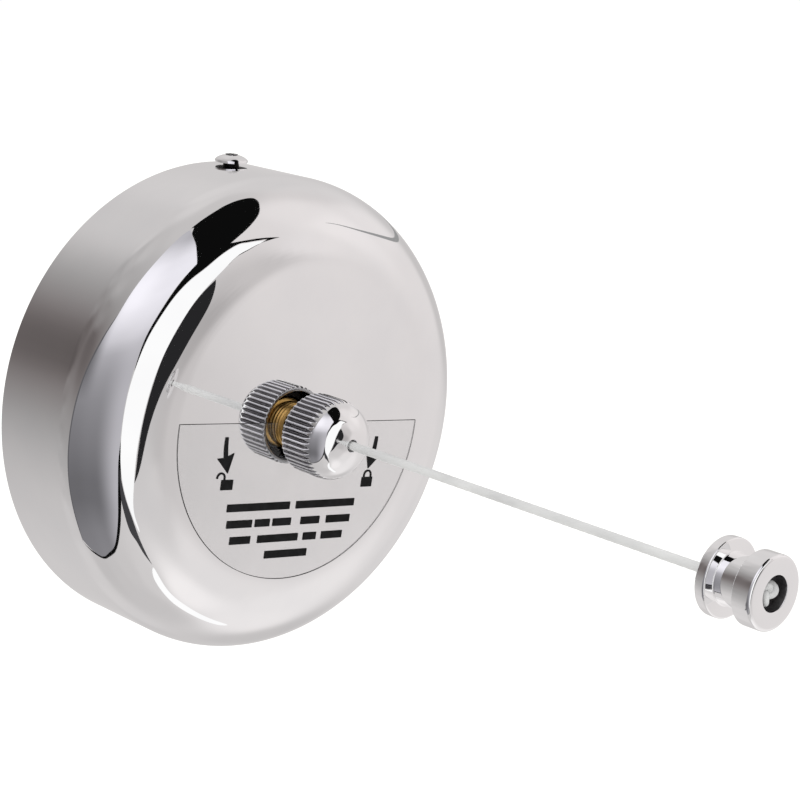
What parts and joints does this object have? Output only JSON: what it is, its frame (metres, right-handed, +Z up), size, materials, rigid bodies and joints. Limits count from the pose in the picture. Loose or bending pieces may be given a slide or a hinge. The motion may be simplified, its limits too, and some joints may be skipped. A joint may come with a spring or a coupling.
{
  "type": "retractable clothesline",
  "caption": "Round polished wall unit with a spring-loaded line reel; the line comes out through a knurled lock knob on the face and ends in a small hook-in bobbin.",
  "frame": {"origin": "centre of the wall plate's back face, on the wall", "axes": "+Y goes into the wall, -Y points out of the wall along the line, +Z up, +X to the right as seen from the front"},
  "size_m": [0.09, 0.1397, 0.0919],
  "materials": {
    "chrome": "mirror polished",
    "label_film": "clear film, printed black",
    "sheet_steel": "zinc plated sheet",
    "hardware_steel": "zinc plated",
    "spring_steel": "blued strip",
    "brass": "turned",
    "drum_plastic": "moulded",
    "nylon": "smooth",
    "line": "coated white line"
  },
  "bodies": {
    "housing": {"cover_shell": "chrome", "cover_screw": "chrome", "cover_screw_washer": "chrome", "instruction_label": "label_film", "wall_plate": "sheet_steel", "reel_frame": "sheet_steel", "frame_screw_1": "hardware_steel", "frame_screw_2": "hardware_steel", "frame_screw_3": "hardware_steel", "frame_screw_4": "hardware_steel", "reel_axle": "hardware_steel", "axle_clip_left": "hardware_steel", "axle_clip_right": "hardware_steel", "thrust_washer_left": "nylon", "thrust_washer_right": "nylon", "line_inner_run": "line", "line_guide": "nylon", "lock_stem": "brass", "stem_washer": "hardware_steel", "stem_nut": "hardware_steel"},
    "reel": {"reel_drum": "drum_plastic", "drum_bush_left": "brass", "drum_bush_right": "brass", "power_spring": "spring_steel", "spring_cover": "drum_plastic", "line_winding": "line", "line_end_knot": "line"},
    "collet": {"clamp_collet": "brass"},
    "knob": {"lock_knob": "chrome"},
    "pull_end": {"end_spool": "chrome", "line_knot": "line", "line_free": "line"}
  },
  "joints": [
    {"name": "line_pull", "type": "slide", "parent": "housing", "child": "pull_end", "axis": [0, -1, 0], "range_m": [-0.0835, 2.6], "deforming": ["line_free"]},
    {"name": "reel_spin", "type": "hinge", "parent": "housing", "child": "reel", "pos_m": [0, -0.016, -0.0116], "axis": [1, 0, 0], "range_deg": [-640, 18900], "deforming": ["power_spring"]},
    {"name": "knob_turn", "type": "hinge", "parent": "collet", "child": "knob", "pos_m": [0, -0.0332, 0], "axis": [0, -1, 0], "range_deg": [0, 360]},
    {"name": "collet_slide", "type": "slide", "parent": "housing", "child": "collet", "axis": [0, -1, 0], "range_m": [0, 0.001]}
  ],
  "couplings": [
    {"joint": "reel_spin", "follows": "line_pull", "rad_per_m": 126.58},
    {"joint": "knob_turn", "follows": "collet_slide", "rad_per_m": 6283.2}
  ]
}
